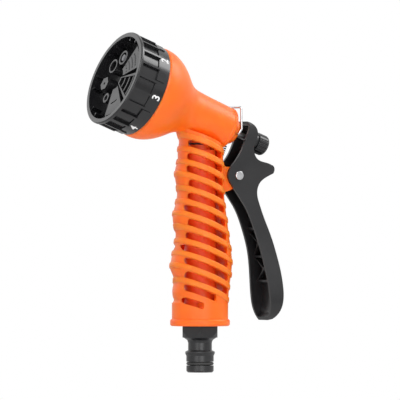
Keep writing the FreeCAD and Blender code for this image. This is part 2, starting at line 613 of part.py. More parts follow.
def cone_insert():
    """Swirl cap with a hexagon on it, closing the cone outlet."""
    outer, inner, top = ROUND_OUTLETS[5]
    corners = [vec(outer * math.cos(math.radians(60 * k)), outer * math.sin(math.radians(60 * k)), top + SEAT)
               for k in range(7)]
    cap = Part.Face(Part.makePolygon(corners)).extrude(vec(0, 0, 1.2))
    cap = join([cap, rod(inner - SEAT, top - 2.0, top + 1.0)])
    return head(on_port_circle(cap.cut(rod(CONE_HOLE_R, top - 2.0 - THROUGH, top + 2.0 + THROUGH)), 5))


def valve_seat():
    return head(ring(CHAMBER_R - SEAT, SEAT_BORE_R, SEAT_SHOULDER_S - SEAT_T, SEAT_SHOULDER_S - SEAT))


SEAL_FACE_S = SEAT_SHOULDER_S - SEAT_T - TOUCH
PLUNGER_FACE_S = SEAL_FACE_S - PLUNGER_SEAL_T
PLUNGER_BACK_S = PLUNGER_FACE_S - PLUNGER_T
LEVER_BACK_S = ((HOOD_X - HEAD_X) * -HEAD_COS + (HOOD_Z - HEAD_Z) * HEAD_SIN) - HOOD_R
WASHER_S = LEVER_BACK_S - TOUCH
KNOB_S = WASHER_S - WASHER_T - SEAT
STEM_REAR_S = KNOB_S - INSERT_LENGTH + 2 * GAP


def plunger_seal():
    return head(ring(PLUNGER_SEAL_R, STEM_R + SEAT, PLUNGER_FACE_S, SEAL_FACE_S))


def valve_plunger():
    plunger = ring(PLUNGER_R, STEM_R + SEAT, PLUNGER_BACK_S, PLUNGER_FACE_S - SEAT)
    groove = ring(PLUNGER_R + THROUGH, STEM_SPRING_R - 2 * STEM_SPRING_WIRE, PLUNGER_BACK_S - THROUGH,
                  PLUNGER_BACK_S + PLUNGER_T / 2.0)
    return head(plunger.cut(groove))


def plunger_nut():
    nut = ring(PLUNGER_NUT_R, STEM_R + SEAT, SEAL_FACE_S + SEAT, SEAL_FACE_S + SEAT + PLUNGER_NUT_T)
    return head(nut)


def valve_stem():
    return head(rod(STEM_R, STEM_REAR_S, STEM_FRONT_S))


def stem_spring():
    base = GLAND_FRONT_S + SPRING_WASHER_T + 2 * SEAT
    height = PLUNGER_BACK_S + PLUNGER_T / 2.0 - base - SEAT
    spring = coil(STEM_SPRING_R, STEM_SPRING_WIRE, STEM_SPRING_PITCH, height)
    spring.translate(vec(0, 0, base))
    return head(spring)


def spring_washer():
    return head(ring(SPRING_WASHER_R, STEM_R + RUN, GLAND_FRONT_S + SEAT, GLAND_FRONT_S + SEAT + SPRING_WASHER_T))


def gland_nut():
    dome_end = BARREL_END_S - GLAND_DOME_LENGTH
    dome = rod(GLAND_DOME_R, dome_end, BARREL_END_S)
    dome = dome.makeFillet(GLAND_DOME_ROUND, [e for e in dome.Edges if e.Closed
                                              and e.BoundBox.ZMax < dome_end + SEAT])
    nut = dome.fuse(rod(CHAMBER_R - SEAT, BARREL_END_S, GLAND_FRONT_S))
    pivots = [Part.makeCylinder(BAIL_WIRE_R + RUN, GLAND_DOME_R, vec(BAIL_PIVOT_U, side * BAIL_INNER_END
                                                                     - side * GAP, BAIL_PIVOT_S),
                                Y_DIR * side) for side in (-1, 1)]
    return head(nut.cut(pivots + [rod(STEM_R + RUN, dome_end - THROUGH, GLAND_FRONT_S + THROUGH),
                                  rod(GLAND_RING_R, GLAND_FRONT_S - GLAND_RING_DEPTH, GLAND_FRONT_S + THROUGH)]))


def gland_o_ring():
    cord = (GLAND_RING_R - STEM_R - RUN - SEAT) / 2.0
    return head(o_ring(STEM_R + RUN + cord, cord, GLAND_FRONT_S - GLAND_RING_DEPTH / 2.0))


def wear_washer():
    return head(ring(WASHER_R, STEM_R + RUN, WASHER_S - WASHER_T, WASHER_S))


def knob_insert():
    return head(ring(INSERT_R, STEM_R + RUN, KNOB_S - INSERT_LENGTH, KNOB_S))


def flow_knob():
    end = KNOB_S - KNOB_LENGTH
    grip = rod(KNOB_R, end, KNOB_S - KNOB_COLLAR_LENGTH)
    grip = grip.makeFillet(KNOB_DOME, [e for e in grip.Edges if e.Closed and e.BoundBox.ZMax < end + SEAT])
    flutes = []
    for number in range(KNOB_FLUTES):
        flute = rod(KNOB_FLUTE_R, end - THROUGH, KNOB_S - KNOB_COLLAR_LENGTH + THROUGH)
        flute.translate(vec(KNOB_R + KNOB_FLUTE_IN, 0, 0))
        flute.rotate(ORIGIN, Z_DIR, 360.0 * number / KNOB_FLUTES)
        flutes.append(flute)
    knob = grip.cut(flutes).fuse(rod(KNOB_COLLAR_R, KNOB_S - KNOB_COLLAR_LENGTH, KNOB_S))
    return head(knob.cut(rod(INSERT_R + SEAT, KNOB_S - INSERT_LENGTH - SEAT, KNOB_S + THROUGH)))


def lock_clip():
    pivot = (BAIL_PIVOT_S, BAIL_PIVOT_U)
    half = [head_point(pivot[0], pivot[1], -BAIL_INNER_END)]
    half += [head_point(s, u, -BAIL_HALF_WIDTH) for s, u in [pivot] + BAIL_LEG]
    mirrored = [vec(p.x, -p.y, p.z) for p in reversed(half)]
    return bent_wire(half + mirrored, BAIL_BEND_R, BAIL_WIRE_R)


def water_tube():
    tube = rod(TUBE_R, TUBE_Z0, TUBE_SHOULDER_Z).fuse(rod(TUBE_NECK_R, TUBE_SHOULDER_Z, TUBE_TOP_Z))
    bores = [rod(TUBE_BORE_R, TUBE_Z0 - THROUGH, TUBE_SHOULDER_Z - TUBE_R + TUBE_BORE_R),
             rod(TUBE_NECK_BORE_R, TUBE_Z0, TUBE_TOP_Z + THROUGH)]
    grooves = [ring(TUBE_R + THROUGH, TUBE_R - TUBE_RING_W, TUBE_RING_Z - TUBE_RING_W / 2.0,
                    TUBE_RING_Z + TUBE_RING_W / 2.0),
               ring(TUBE_NECK_R + THROUGH, TUBE_NECK_R - TUBE_RING_W, TUBE_RING_TOP_Z - TUBE_RING_W / 2.0,
                    TUBE_RING_TOP_Z + TUBE_RING_W / 2.0)]
    return tube.cut(bores + grooves)


def tube_o_rings():
    cord = TUBE_RING_W / 2.0 - SEAT
    return Part.makeCompound([o_ring(TUBE_R - TUBE_RING_W / 2.0, cord, TUBE_RING_Z),
                              o_ring(TUBE_NECK_R - TUBE_RING_W / 2.0, cord, TUBE_RING_TOP_Z)])


def inlet_nipple():
    hexagon = [vec(HEX_FLATS / math.sqrt(3) * math.cos(math.radians(60 * k + 62)),
                   HEX_FLATS / math.sqrt(3) * math.sin(math.radians(60 * k + 62)), HEX_Z0) for k in range(7)]
    nut = Part.Face(Part.makePolygon(hexagon)).extrude(vec(0, 0, HEX_Z1 - HEX_Z0))
    bevel = Part.makeCone(HEX_FLATS / 2.0, HEX_FLATS / math.sqrt(3) + HEX_EDGE, HEX_Z1 - HEX_Z0, vec(0, 0, HEX_Z0))
    nipple = join([turned_profile(NIPPLE_OUTLINE), nut.common(bevel),
                   rod(SPIGOT_SOCKET_R - SEAT, HEX_Z0, SPIGOT_SOCKET_Z)])
    return nipple.cut(rod(NIPPLE_BORE_R, -THROUGH, SPIGOT_SOCKET_Z + THROUGH))


def nipple_o_ring():
    return o_ring(NIPPLE_GROOVE_R + SEAT + NIPPLE_RING_W, NIPPLE_RING_W, NIPPLE_RING_Z)


def inlet_washer():
    return ring(SPIGOT_SOCKET_R - SEAT, NIPPLE_BORE_R, SPIGOT_SOCKET_Z + SEAT, SPIGOT_SOCKET_Z + INLET_WASHER_T)


def pivot_pin():
    """Rivet through the lever's side walls and the body's lug, head on the near side."""
    near, far = -LEVER_HALF - TOUCH, LEVER_HALF + TOUCH + CAP_T
    pin_head = cross_rod(PIN_HEAD_WIDE_R, PIVOT_X, PIVOT_Z, near - PIN_HEAD_T, near)
    edges = [e for e in pin_head.Edges if e.Closed and e.BoundBox.YMax < near - PIN_HEAD_T + SEAT]
    pin_head = pin_head.makeFillet(PIN_HEAD_T * 0.6, edges)
    return join([pin_head, cross_rod(PIN_SHANK_R, PIVOT_X, PIVOT_Z, near, far)])


def pivot_cap():
    far = LEVER_HALF + TOUCH
    cap = cross_rod(CAP_R, PIVOT_X, PIVOT_Z, far, far + CAP_T)
    return cap.cut(cross_rod(PIN_SHANK_R + SEAT, PIVOT_X, PIVOT_Z, far - THROUGH, far + CAP_T + THROUGH))


def return_spring():
    return return_axis_frame(coil(RETURN_R, RETURN_WIRE, RETURN_PITCH, RETURN_BELOW + RETURN_ABOVE))


def moved_forward(points, distance):
    """Move a line of (x, z) points, listed from the top down, squarely towards the grip."""
    moved = []
    for index, (x, z) in enumerate(points):
        before = points[max(index - 1, 0)]
        after = points[min(index + 1, len(points) - 1)]
        dx, dz = after[0] - before[0], after[1] - before[1]
        length = math.hypot(dx, dz)
        moved.append((x + dz / length * distance, z - dx / length * distance))
    return moved


def hood_arc(radius, start, stop, steps):
    """Points round the hood from its lip to its back, angles from straight up."""
    points = []
    for step in range(steps + 1):
        angle = math.radians(start + (stop - start) * step / steps)
        points.append((HOOD_X + radius * math.sin(angle), HOOD_Z + radius * math.cos(angle)))
    return points


def width_prism(inset):
    """Outline of the lever seen from behind, spread along X."""
    right = [(half - inset, z) for z, half in LEVER_WIDTHS]
    outline = [vec(0, y, z) for y, z in right] + [vec(0, -y, z) for y, z in reversed(right)]
    sides = [spline([vec(0, y, z) for y, z in right]), Part.makeLine(outline[len(right) - 1], outline[len(right)]),
             spline([vec(0, -y, z) for y, z in reversed(right)]), Part.makeLine(outline[-1], outline[0])]
    return Part.Face(Part.Wire(sides)).extrude(vec(PIVOT_X + HORN_SOLID_X, 0, 0))


def trigger_lever():
    hood = hood_arc(HOOD_R, 10.0, 90.0 + HEAD_TILT, 6)
    to_point = lambda pairs: [vec(x, 0, z) for x, z in pairs]
    hood_points = to_point(hood)
    flat, horn_top, horn_end = to_point(LEVER_HOOD_BACK), to_point(LEVER_HORN_TOP), to_point(LEVER_HORN_END)
    back, front = to_point(LEVER_BACK), to_point(LEVER_FRONT)
    arc_middle = to_point(hood_arc(HOOD_R, 10.0, 90.0 + HEAD_TILT, 2))[1]
    edges = [Part.Arc(hood_points[0], arc_middle, hood_points[-1]).toShape(),
             Part.makeLine(hood_points[-1], flat[0]),
             spline(flat + horn_top), spline([horn_top[-1]] + horn_end), spline([horn_end[-1]] + back),
             Part.makeLine(back[-1], front[-1]), spline(list(reversed(front))),
             Part.makeLine(front[0], hood_points[0])]
    side = Part.Face(Part.Wire(edges))
    side.translate(vec(0, -PIVOT_X, 0))
    outside = side.extrude(vec(0, 2 * PIVOT_X, 0)).common(width_prism(0.0))

    rounded = [(HORN_SOLID_X, 117.5), (HORN_SOLID_X, 112.5)]
    backs = hood_arc(HOOD_R - LEVER_BACK_WALL, 10.0, 90.0 + HEAD_TILT, 6)
    backs += moved_forward(LEVER_HOOD_BACK + LEVER_HORN_TOP[:1], LEVER_BACK_WALL)
    backs += [(x - LEVER_BACK_WALL, z) for x, z in rounded]
    backs += moved_forward(LEVER_BACK[1:], LEVER_BACK_WALL)
    mouth = [(0.0, backs[-1][1]), (0.0, HOOD_Z), (backs[0][0] - HOOD_R - LEVER_BACK_WALL, backs[0][1])]
    hollow = prism_xz(backs + mouth, PIVOT_X).common(width_prism(LEVER_WALL))

    span = 2 * PIVOT_X
    ribs = []
    for z in CROSS_RIB_Z:
        ribs.append(box(0, span + PIVOT_X, -span, span, z - RIB_T / 2.0, z + RIB_T / 2.0))
    for low, high in zip(CROSS_RIB_Z, CROSS_RIB_Z[1:]):
        for direction in (-1, 1):
            width = LEVER_HALF + LEVER_WALL
            plate = Part.Face(Part.makePolygon([vec(0, -direction * width, low - RIB_T / 2.0),
                                                vec(0, direction * width, high - RIB_T / 2.0),
                                                vec(0, direction * width, high + RIB_T / 2.0),
                                                vec(0, -direction * width, low + RIB_T / 2.0),
                                                vec(0, -direction * width, low - RIB_T / 2.0)]))
            ribs.append(plate.extrude(vec(span + PIVOT_X, 0, 0)))
    band = moved_forward(LEVER_BACK, LEVER_BACK_WALL + RIB_HEIGHT)
    rib_zone = prism_xz(LEVER_BACK + list(reversed(band)), PIVOT_X).common(width_prism(LEVER_WALL / 2.0))
    ribs = [rib.common(rib_zone) for rib in ribs]

    seat = return_axis_frame(rod(RETURN_R + RETURN_WIRE, -RETURN_SEAT_T, -SEAT))
    bridge = box(RETURN_X - RETURN_BELOW * HEAD_SIN, RETURN_X + RETURN_BELOW * HEAD_COS, RETURN_Y,
                 LEVER_HALF - LEVER_WALL / 2.0, RETURN_Z - RETURN_BELOW * HEAD_COS - 2 * RETURN_SEAT_T,
                 RETURN_Z - RETURN_BELOW * HEAD_COS - RETURN_SEAT_T)

    radius = STEM_HOLE_R
    slot = join([head(Part.makeCylinder(radius, span, vec(rise, 0, LEVER_BACK_S - radius), Z_DIR))
                 for rise in (0.0, STEM_HOLE_RISE / 2.0, STEM_HOLE_RISE)])
    holes = [cross_rod(PIN_SHANK_R + RUN, PIVOT_X, PIVOT_Z, -LEVER_HALF - THROUGH, LEVER_HALF + THROUGH), slot]
    return join([outside.cut(hollow)] + ribs + [seat, bridge]).cut(holes)


NODES = {
    "body_shell": body_shell, "front_plate": front_plate, "plate_o_ring": plate_o_ring,
    "water_tube": water_tube, "tube_o_rings": tube_o_rings, "inlet_nipple": inlet_nipple,
    "nipple_o_ring": nipple_o_ring, "inlet_washer": inlet_washer, "valve_seat": valve_seat,
    "spring_washer": spring_washer, "gland_nut": gland_nut, "gland_o_ring": gland_o_ring,
    "face_seal": face_seal, "face_seal_spring": face_seal_spring, "detent_pin": detent_pin,
    "detent_spring": detent_spring, "dial_screw": dial_screw, "dial_washer": dial_washer,
    "pivot_pin": pivot_pin, "pivot_cap": pivot_cap, "return_spring": return_spring,
    "trigger_lever": trigger_lever, "lock_clip": lock_clip, "valve_stem": valve_stem,
    "valve_plunger": valve_plunger, "plunger_seal": plunger_seal, "plunger_nut": plunger_nut,
    "stem_spring": stem_spring, "wear_washer": wear_washer, "flow_knob": flow_knob,
    "knob_insert": knob_insert, "dial_shell": dial_shell, "dial_face": dial_face,
    "dial_back_plate": dial_back_plate, "shower_plate": shower_plate, "mist_pin": mist_pin,
    "jet_insert": jet_insert, "cone_insert": cone_insert,
}

os.makedirs("parts", exist_ok=True)
for node, build in NODES.items():
    shape = build()
    shape.exportStep("parts/" + node + ".step")
    print(node, "solids", len(shape.Solids), "valid", shape.isValid(), "volume", round(shape.Volume, 1))
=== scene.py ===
# %% [markdown]
# # Hose spray nozzle
# A pistol-grip watering nozzle: an orange moulded body with a slotted grip, a black ribbed dial
# with seven spray patterns, a black squeeze lever, a wire bail, a flow knob and a click-fit hose
# tail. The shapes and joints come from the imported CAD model; this script gives them their
# finishes and adds what moulding and printing would add.

# %% Load the frame
import json
import math

import bpy
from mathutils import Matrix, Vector


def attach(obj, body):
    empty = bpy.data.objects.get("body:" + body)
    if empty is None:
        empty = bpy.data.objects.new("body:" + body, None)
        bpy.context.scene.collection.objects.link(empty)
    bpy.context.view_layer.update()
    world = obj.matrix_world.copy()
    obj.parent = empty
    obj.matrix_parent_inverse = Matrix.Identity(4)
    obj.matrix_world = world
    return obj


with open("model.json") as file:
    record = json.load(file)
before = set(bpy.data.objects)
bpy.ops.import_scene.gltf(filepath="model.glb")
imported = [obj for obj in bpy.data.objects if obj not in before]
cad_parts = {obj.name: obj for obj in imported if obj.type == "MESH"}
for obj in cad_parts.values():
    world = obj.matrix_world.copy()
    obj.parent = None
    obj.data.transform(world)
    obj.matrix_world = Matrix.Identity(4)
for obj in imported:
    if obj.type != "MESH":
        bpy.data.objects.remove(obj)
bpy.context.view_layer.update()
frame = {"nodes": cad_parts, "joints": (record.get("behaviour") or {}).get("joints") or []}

scene = bpy.context.scene
scene.view_settings.view_transform = "Standard"
nodes = frame["nodes"]

# %% [markdown]
# ## Camera
# A product camera stands level with the middle of the nozzle, in front of it and to the left, so
# the face of the dial and the side of the lever both show. A long lens keeps the upright
# grip from leaning. The lens is worked out from how much of the scene the frame has to hold.

# %% Camera
VIEW_AZIMUTH = math.radians(-28.0)
VIEW_DISTANCE = 4.0
VIEW_HEIGHT = 0.0985
FRAME_WIDTH = 0.2286            # metres across the frame at the grip
SENSOR = 36.0                   # millimetres

camera_data = bpy.data.cameras.new("studio_camera")
camera_data.sensor_width = SENSOR
camera_data.lens = SENSOR * VIEW_DISTANCE / FRAME_WIDTH
camera = bpy.data.objects.new("studio_camera", camera_data)
scene.collection.objects.link(camera)
camera.location = (VIEW_DISTANCE * math.sin(VIEW_AZIMUTH), -VIEW_DISTANCE * math.cos(VIEW_AZIMUTH),
                   VIEW_HEIGHT)
camera.rotation_euler = (math.pi / 2.0, 0.0, VIEW_AZIMUTH)
scene.camera = camera
print("lens", round(camera_data.lens, 1), "mm")

# %% [markdown]
# ## Studio: the light tent
# Satin plastic looks right only when it has something to reflect. A light tent does that: pale
# walls all round. In Blender the world is the tent. It could be one plain colour, but then a
# white wall would also over-light the nozzle. So the world has two strengths: rays from the
# camera, from glossy surfaces and through clear ones see white, and all other rays see the
# lower level.

# %% World
TENT_LEVEL = 0.5
WHITE = (1.0, 1.0, 1.0, 1.0)

world = bpy.data.worlds.new("light_tent")
scene.world = world
world.use_nodes = True
tent = world.node_tree
tent.nodes.clear()
tent_out = tent.nodes.new("ShaderNodeOutputWorld")
seen, lighting = [tent.nodes.new("ShaderNodeBackground") for _ in range(2)]
for background, strength in ((seen, 1.0), (lighting, TENT_LEVEL)):
    background.inputs["Color"].default_value = WHITE
    background.inputs["Strength"].default_value = strength
path = tent.nodes.new("ShaderNodeLightPath")
clear_or_camera, white_wall = [tent.nodes.new("ShaderNodeMath") for _ in range(2)]
clear_or_camera.operation = white_wall.operation = "MAXIMUM"
choose = tent.nodes.new("ShaderNodeMixShader")
tent.links.new(path.outputs["Is Camera Ray"], clear_or_camera.inputs[0])
tent.links.new(path.outputs["Is Transmission Ray"], clear_or_camera.inputs[1])
tent.links.new(clear_or_camera.outputs[0], white_wall.inputs[0])
tent.links.new(path.outputs["Is Glossy Ray"], white_wall.inputs[1])
tent.links.new(white_wall.outputs[0], choose.inputs[0])
tent.links.new(lighting.outputs[0], choose.inputs[1])
tent.links.new(seen.outputs[0], choose.inputs[2])
tent.links.new(choose.outputs[0], tent_out.inputs["Surface"])
print("tent level", TENT_LEVEL)

# %% [markdown]
# ## Studio: lamps
# The tent alone would look flat. Five soft square lamps shape the nozzle: the key lamp high on
# the left, a fill lamp in front, an edge lamp high on the right that draws lines along the
# edges, a lamp behind on the left that reaches the dial's face, and a weak one from below that
# lifts the undersides, as a white table would.

# %% Lamps
MIDDLE = Vector((0.0, 0.0, VIEW_HEIGHT))
LAMPS = {                       # place, side in metres, power in watts
    "key_lamp": ((-0.35, -0.50, 0.80), 0.4, 3.4),
    "fill_lamp": ((-0.20, -0.95, 0.10), 0.5, 2.4),
    "edge_lamp": ((0.75, -0.20, 0.75), 0.5, 4.5),
    "face_lamp": ((-0.36, 0.90, 0.42), 0.6, 0.8),
    "low_lamp": ((-0.5, -0.35, -0.05), 0.3, 0.6),
}


def soft_lamp(name, place, side, power):
    """A square soft lamp that points at the middle of the nozzle."""
    data = bpy.data.lights.new(name, "AREA")
    data.shape = "SQUARE"
    data.size = side
    data.energy = power
    lamp = bpy.data.objects.new(name, data)
    scene.collection.objects.link(lamp)
    lamp.location = place
    lamp.rotation_euler = (MIDDLE - Vector(place)).to_track_quat("-Z", "Y").to_euler()


for name, (place, side, power) in LAMPS.items():
    soft_lamp(name, place, side, power)
print("lamps", len(LAMPS))

# %% [markdown]
# ## Studio: floor
# The floor is a pale sheet well below the nozzle, which is held up by its hose tail. To the
# camera it is as white as the tent, and to every other ray it is pale paper that bounces
# light back up.

# %% Floor
FLOOR_Z = -0.12
FLOOR_HALF = 3.0
FLOOR_PAPER = (0.85, 0.85, 0.85, 1.0)

corners = [(-1, -1), (1, -1), (1, 1), (-1, 1)]
floor_mesh = bpy.data.meshes.new("floor")
floor_mesh.from_pydata([(FLOOR_HALF * x, FLOOR_HALF * y, FLOOR_Z) for x, y in corners], [], [(0, 1, 2, 3)])
floor = bpy.data.objects.new("floor", floor_mesh)
scene.collection.objects.link(floor)

pale_floor = bpy.data.materials.new("pale_floor")
pale_floor.use_nodes = True
floor_tree = pale_floor.node_tree
floor_tree.nodes.clear()
floor_out = floor_tree.nodes.new("ShaderNodeOutputMaterial")
floor_paper = floor_tree.nodes.new("ShaderNodeBsdfDiffuse")
floor_paper.inputs["Color"].default_value = FLOOR_PAPER
floor_white = floor_tree.nodes.new("ShaderNodeEmission")
floor_path = floor_tree.nodes.new("ShaderNodeLightPath")
floor_mix = floor_tree.nodes.new("ShaderNodeMixShader")
floor_tree.links.new(floor_path.outputs["Is Camera Ray"], floor_mix.inputs[0])
floor_tree.links.new(floor_paper.outputs[0], floor_mix.inputs[1])
floor_tree.links.new(floor_white.outputs[0], floor_mix.inputs[2])
floor_tree.links.new(floor_mix.outputs[0], floor_out.inputs["Surface"])
floor_mesh.materials.append(pale_floor)
print("floor at", FLOOR_Z)

# %% [markdown]
# ## Shared effect: moulded grain
# Injection-moulded plastic is never perfectly even. The tool's texture leaves a fine grain, and
# the melt leaves slow waves of gloss and shade. One node group makes both from noise, and each
# finish sets its own scale and strength. A noise texture rarely leaves the middle of its range,
# so the group stretches that middle before it uses it.

# %% Moulded grain group
NOISE_LOW, NOISE_HIGH = 0.3, 0.7        # where a noise texture spends most of its time
GRAIN_DETAIL, WAVE_DETAIL = 2.0, 3.0
PLASTIC_GRAIN, PLASTIC_WAVE = 2500.0, 60.0


def new_group(name, inputs, outputs):
    """A shader group with named sockets, and its two end nodes."""
    group = bpy.data.node_groups.new(name, "ShaderNodeTree")
    for socket, kind, value in inputs:
        made = group.interface.new_socket(name=socket, in_out="INPUT", socket_type=kind)
        made.default_value = value
    for socket, kind in outputs:
        group.interface.new_socket(name=socket, in_out="OUTPUT", socket_type=kind)
    return group, group.nodes.new("NodeGroupInput"), group.nodes.new("NodeGroupOutput")


def spread(group, source, low, high):
    """A noise value stretched between two numbers or sockets."""
    node = group.nodes.new("ShaderNodeMapRange")
    group.links.new(source, node.inputs["Value"])
    node.inputs["From Min"].default_value = NOISE_LOW
    node.inputs["From Max"].default_value = NOISE_HIGH
    for name, value in (("To Min", low), ("To Max", high)):
        if isinstance(value, (int, float)):
            node.inputs[name].default_value = value
        else:
            group.links.new(value, node.inputs[name])
    return node.outputs["Result"]


grain, grain_in, grain_out = new_group(
    "moulded_grain",
    [("Color", "NodeSocketColor", (0.5, 0.5, 0.5, 1.0)), ("Shade", "NodeSocketColor", (0.4, 0.4, 0.4, 1.0)),
     ("Grain Scale", "NodeSocketFloat", PLASTIC_GRAIN), ("Wave Scale", "NodeSocketFloat", PLASTIC_WAVE),
     ("Smooth Roughness", "NodeSocketFloat", 0.3), ("Dull Roughness", "NodeSocketFloat", 0.4)],
    [("Color", "NodeSocketColor"), ("Roughness", "NodeSocketFloat"), ("Height", "NodeSocketFloat")])
place = grain.nodes.new("ShaderNodeTexCoord")
fine = grain.nodes.new("ShaderNodeTexNoise")
fine.inputs["Detail"].default_value = GRAIN_DETAIL
wave = grain.nodes.new("ShaderNodeTexNoise")
wave.inputs["Detail"].default_value = WAVE_DETAIL
for noise, scale in ((fine, "Grain Scale"), (wave, "Wave Scale")):
    grain.links.new(place.outputs["Object"], noise.inputs["Vector"])
    grain.links.new(grain_in.outputs[scale], noise.inputs["Scale"])
gloss = spread(grain, wave.outputs["Fac"], grain_in.outputs["Smooth Roughness"],
               grain_in.outputs["Dull Roughness"])
grain.links.new(gloss, grain_out.inputs["Roughness"])
grain.links.new(fine.outputs["Fac"], grain_out.inputs["Height"])
tint = grain.nodes.new("ShaderNodeMix")
tint.data_type = "RGBA"
grain.links.new(spread(grain, wave.outputs["Fac"], 0.0, 1.0), tint.inputs["Factor"])
grain.links.new(grain_in.outputs["Color"], tint.inputs["A"])
grain.links.new(grain_in.outputs["Shade"], tint.inputs["B"])
grain.links.new(tint.outputs["Result"], grain_out.inputs["Color"])
print("group", grain.name)

# %% [markdown]
# ## Finishes: the recipe
# Each finish is a Principled shader fed by the grain group, so one function can make them all.
# The orange is a polypropylene that lets a little light in. Subsurface scattering stands for
# that: red travels furthest through the plastic, so thin bars and deep slots glow red instead
# of going brown. The depth is set for each plastic, and zero switches the effect off.

# %% Recipe for a finish
GLOW_WEIGHT = 0.5
GLOW_REACH = (1.0, 0.12, 0.04)          # red, green and blue share of the depth
RELIEF_DEPTH = 0.0001


def moulded(name, color, shade, smooth, dull, grain_scale=PLASTIC_GRAIN, wave_scale=PLASTIC_WAVE,
            bump=0.08, specular=0.5, metallic=0.0, glow_depth=0.0):
    """A finish between two colours and two roughnesses, with fine relief."""
    material = bpy.data.materials.new(name)
    material.use_nodes = True
    links, made = material.node_tree.links, material.node_tree.nodes
    shader = made["Principled BSDF"]
    shader.inputs["Metallic"].default_value = metallic
    shader.inputs["Specular IOR Level"].default_value = specular
    if glow_depth:
        shader.inputs["Subsurface Weight"].default_value = GLOW_WEIGHT
        shader.inputs["Subsurface Radius"].default_value = GLOW_REACH
        shader.inputs["Subsurface Scale"].default_value = glow_depth
    effect = made.new("ShaderNodeGroup")
    effect.node_tree = grain
    effect.inputs["Color"].default_value = (*color, 1.0)
    effect.inputs["Shade"].default_value = (*shade, 1.0)
    effect.inputs["Grain Scale"].default_value = grain_scale
    effect.inputs["Wave Scale"].default_value = wave_scale
    effect.inputs["Smooth Roughness"].default_value = smooth
    effect.inputs["Dull Roughness"].default_value = dull
    relief = made.new("ShaderNodeBump")
    relief.inputs["Strength"].default_value = bump
    relief.inputs["Distance"].default_value = RELIEF_DEPTH
    links.new(effect.outputs["Color"], shader.inputs["Base Color"])
    links.new(effect.outputs["Roughness"], shader.inputs["Roughness"])
    links.new(effect.outputs["Height"], relief.inputs["Height"])
    links.new(relief.outputs["Normal"], shader.inputs["Normal"])
    return material


print("recipe ready")

# %% [markdown]
# ## Finishes: plastics and rubber
# The body and the tube inside it are orange. The tube is given a deeper red orange, which is painted
# shade for the dark red seen down the slots, and the bars on the grip a lighter, yellower orange,
# which is painted highlight for the light their raised faces catch. The black is the same plastic
# with carbon black in it, which shows gloss rather than colour, so its base colour is almost nothing
# and the roughness tells the dial, the lever and the knob apart.

# %% Plastic finishes
orange = moulded("orange_satin_plastic", (0.98, 0.165, 0.006), (0.94, 0.145, 0.004), 0.36, 0.48,
                 specular=0.4, glow_depth=0.004)
# The bars get a lighter, yellower copy of the orange: painted highlight for the light their raised faces
# catch.
lit_bar_orange = moulded("orange_bar_painted_highlight_plastic", (0.99, 0.215, 0.010), (0.97, 0.19, 0.008), 0.38, 0.50,
                     specular=0.4, glow_depth=0.003)
# The tube gets a deeper red copy of the orange: painted shade for the dark red seen down the slots.
shaded_tube_orange = moulded("orange_tube_painted_shade_plastic", (0.99, 0.11, 0.012), (0.97, 0.09, 0.009), 0.40, 0.52,
                      specular=0.3, glow_depth=0.006)
black = moulded("black_satin_plastic", (0.008, 0.008, 0.009), (0.012, 0.012, 0.013), 0.30, 0.42)
dial_black = moulded("black_dial_plastic", (0.008, 0.008, 0.009), (0.012, 0.012, 0.013), 0.18, 0.28)
face_black = moulded("black_dial_face_plastic", (0.008, 0.008, 0.009), (0.012, 0.012, 0.013), 0.28, 0.40)
knob_black = moulded("black_knob_plastic", (0.007, 0.007, 0.008), (0.011, 0.011, 0.012), 0.28, 0.40)
grey = moulded("grey_insert_plastic", (0.16, 0.16, 0.17), (0.12, 0.12, 0.13), 0.30, 0.44)
white = moulded("white_valve_plastic", (0.75, 0.75, 0.72), (0.68, 0.68, 0.66), 0.35, 0.5)
rubber = moulded("black_seal_rubber", (0.018, 0.018, 0.018), (0.026, 0.026, 0.026), 0.5, 0.7)
print("plastics ready")

# %% [markdown]
# ## Finishes: metals
# Metals have no diffuse colour. They are described by how much they reflect and by how smooth
# the drawing, rolling or turning left them. The bail, the pin and the lever's spring are bright,
# the stem, the screw and the other springs are duller, and the insert and the nut are brass.

# %% Metal finishes
METAL_GRAIN, BRASS_GRAIN = 1200.0, 1500.0
METAL_WAVE, BRASS_WAVE = 300.0, 200.0

bright_steel = moulded("bright_drawn_steel", (0.56, 0.56, 0.57), (0.46, 0.46, 0.47), 0.14, 0.26,
                       METAL_GRAIN, METAL_WAVE, 0.05, metallic=1.0)
plain_steel = moulded("plain_steel", (0.60, 0.60, 0.61), (0.52, 0.52, 0.53), 0.26, 0.40,
                      METAL_GRAIN, METAL_WAVE, 0.1, metallic=1.0)
brass = moulded("turned_brass", (0.80, 0.58, 0.25), (0.72, 0.50, 0.20), 0.22, 0.34,
                BRASS_GRAIN, BRASS_WAVE, 0.08, metallic=1.0)
print("metals ready")

# %% [markdown]
# ## Dressing the CAD pieces
# The CAD solids have the right shape, so they keep their meshes. Three things make them read as
# mouldings: smooth shading broken at real edges, a very small bevel on those edges to
# catch the light, and the finish. A bevel modifier leaves the mesh itself alone, and its width
# is set for each piece, since a rib on the dial is far thinner than the lever.

